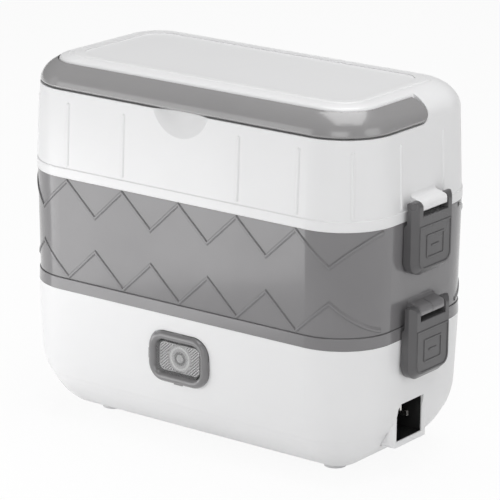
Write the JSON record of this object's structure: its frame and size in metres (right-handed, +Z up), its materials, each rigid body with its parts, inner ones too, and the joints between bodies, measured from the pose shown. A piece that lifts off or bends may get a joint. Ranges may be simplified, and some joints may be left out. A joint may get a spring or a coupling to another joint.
{
  "type": "electric lunch box",
  "caption": "Stacked electric lunch box: heated base with a push switch and a power inlet, steaming tier and tall cover, held by end latches, with bowls inside and a fold-flat handle.",
  "frame": {"origin": "on the table, under the middle of the box", "axes": "+Z up, +X towards the end with the power inlet, -Y towards the front with the switch"},
  "size_m": [0.2574, 0.1274, 0.2135],
  "materials": {
    "white_shell": "glossy moulded plastic, nearly smooth",
    "tier_grey": "glossy tinted plastic",
    "handle_grey": "satin moulded plastic",
    "latch_grey": "satin moulded plastic",
    "bezel_grey": "satin moulded plastic",
    "button_clear": "clear, slightly tinted cap",
    "plate_grey": "fine hatch in relief",
    "lid_plastic": "smooth moulded plastic",
    "black_plastic": "matte",
    "ceramic_white": "matte",
    "lamp_white": "glossy",
    "board_green": "matte",
    "foot_rubber": "soft matte",
    "silicone": "soft matte",
    "bowl_steel": "brushed",
    "screw_steel": "polished",
    "tube_steel": "dull",
    "cast_aluminium": "cast",
    "contact_brass": "bright"
  },
  "bodies": {
    "base": {"base_shell": "white_shell", "bottom_cover": "white_shell", "rubber_feet": "foot_rubber", "bottom_screws": "screw_steel", "heating_pan": "bowl_steel", "pan_seal": "silicone", "heating_plate": "cast_aluminium", "heating_tube": "tube_steel", "thermostat": "black_plastic", "thermal_fuse": "ceramic_white", "power_inlet": "black_plastic", "inlet_pins": "contact_brass", "switch_bezel": "bezel_grey", "switch_board": "board_green", "push_switch": "black_plastic", "indicator_lamp": "lamp_white"},
    "switch_button": {"switch_button": "button_clear", "switch_plate": "plate_grey"},
    "lower_bowl": {"lower_bowl": "bowl_steel"},
    "lower_lid": {"lower_bowl_lid": "lid_plastic", "lower_lid_seal": "silicone"},
    "tier": {"tier_shell": "tier_grey", "tier_seal": "silicone", "steam_rack": "bowl_steel"},
    "upper_bowl": {"upper_bowl": "bowl_steel"},
    "upper_lid": {"upper_bowl_lid": "lid_plastic", "upper_lid_seal": "silicone"},
    "cover": {"cover_shell": "white_shell", "cover_seal": "silicone", "handle_pins": "screw_steel"},
    "handle": {"handle": "handle_grey"},
    "upper_latch_right": {"upper_latch_right": "latch_grey", "upper_latch_pin_right": "screw_steel"},
    "upper_latch_left": {"upper_latch_left": "latch_grey", "upper_latch_pin_left": "screw_steel"},
    "lower_latch_right": {"lower_latch_right": "latch_grey", "lower_latch_pin_right": "screw_steel"},
    "lower_latch_left": {"lower_latch_left": "latch_grey", "lower_latch_pin_left": "screw_steel"}
  },
  "joints": [
    {"name": "switch_press", "type": "slide", "parent": "base", "child": "switch_button", "axis": [0, 1, 0], "range_m": [0, 0.0015], "stiffness_N_per_m": 300},
    {"name": "lower_bowl_lift", "type": "slide", "parent": "base", "child": "lower_bowl", "axis": [0, 0, 1], "range_m": [0, 0.036]},
    {"name": "lower_lid_lift", "type": "slide", "parent": "lower_bowl", "child": "lower_lid", "axis": [0, 0, 1], "range_m": [0, 0.016]},
    {"name": "tier_lift", "type": "slide", "parent": "lower_lid", "child": "tier", "axis": [0, 0, 1], "range_m": [0, 0.056]},
    {"name": "upper_bowl_lift", "type": "slide", "parent": "tier", "child": "upper_bowl", "axis": [0, 0, 1], "range_m": [0, 0.04]},
    {"name": "upper_lid_lift", "type": "slide", "parent": "upper_bowl", "child": "upper_lid", "axis": [0, 0, 1], "range_m": [0, 0.016]},
    {"name": "cover_lift", "type": "slide", "parent": "upper_lid", "child": "cover", "axis": [0, 0, 1], "range_m": [0, 0.06]},
    {"name": "handle_fold", "type": "hinge", "parent": "cover", "child": "handle", "pos_m": [0, 0, 0.2046], "axis": [-1, 0, 0], "range_deg": [0, 90]},
    {"name": "upper_latch_right_hinge", "type": "hinge", "parent": "cover", "child": "upper_latch_right", "pos_m": [0.1245, 0, 0.1548], "axis": [0, -1, 0], "range_deg": [0, 110]},
    {"name": "upper_latch_left_hinge", "type": "hinge", "parent": "cover", "child": "upper_latch_left", "pos_m": [-0.1245, 0, 0.1548], "axis": [0, 1, 0], "range_deg": [0, 110]},
    {"name": "lower_latch_right_hinge", "type": "hinge", "parent": "tier", "child": "lower_latch_right", "pos_m": [0.1245, 0, 0.0953], "axis": [0, -1, 0], "range_deg": [0, 110]},
    {"name": "lower_latch_left_hinge", "type": "hinge", "parent": "tier", "child": "lower_latch_left", "pos_m": [-0.1245, 0, 0.0953], "axis": [0, 1, 0], "range_deg": [0, 110]}
  ]
}
